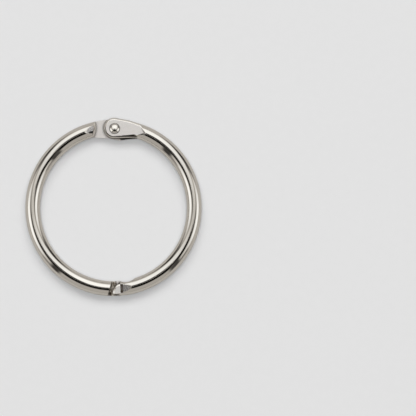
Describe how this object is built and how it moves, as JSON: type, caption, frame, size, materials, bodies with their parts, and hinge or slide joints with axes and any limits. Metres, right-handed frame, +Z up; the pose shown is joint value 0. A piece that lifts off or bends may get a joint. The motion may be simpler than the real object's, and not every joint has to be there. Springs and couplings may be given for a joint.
{
  "type": "binder ring",
  "caption": "Closed loose-leaf ring of round nickel-plated wire in two half rings, with a riveted lap hinge at the top and an interlocking hook closure at the bottom, lying flat.",
  "frame": {"origin": "centre of the closed ring, on the surface the ring lies on", "axes": "+Z up through the ring, along the hinge's axis; +Y from the centre towards the hinge; +X towards the half that swings open"},
  "size_m": [0.025, 0.0252, 0.0022],
  "materials": {
    "half_ring_nickel": "polished nickel plate on steel wire",
    "rivet_nickel": "bright nickel plate on steel"
  },
  "bodies": {
    "left": {"left_half": "half_ring_nickel", "rivet": "rivet_nickel"},
    "right": {"right_half": "half_ring_nickel"}
  },
  "joints": [
    {"name": "hinge", "type": "hinge", "parent": "left", "child": "right", "pos_m": [0, 0.01121, 0.00105], "axis": [0, 0, 1], "range_deg": [0, 110]}
  ]
}
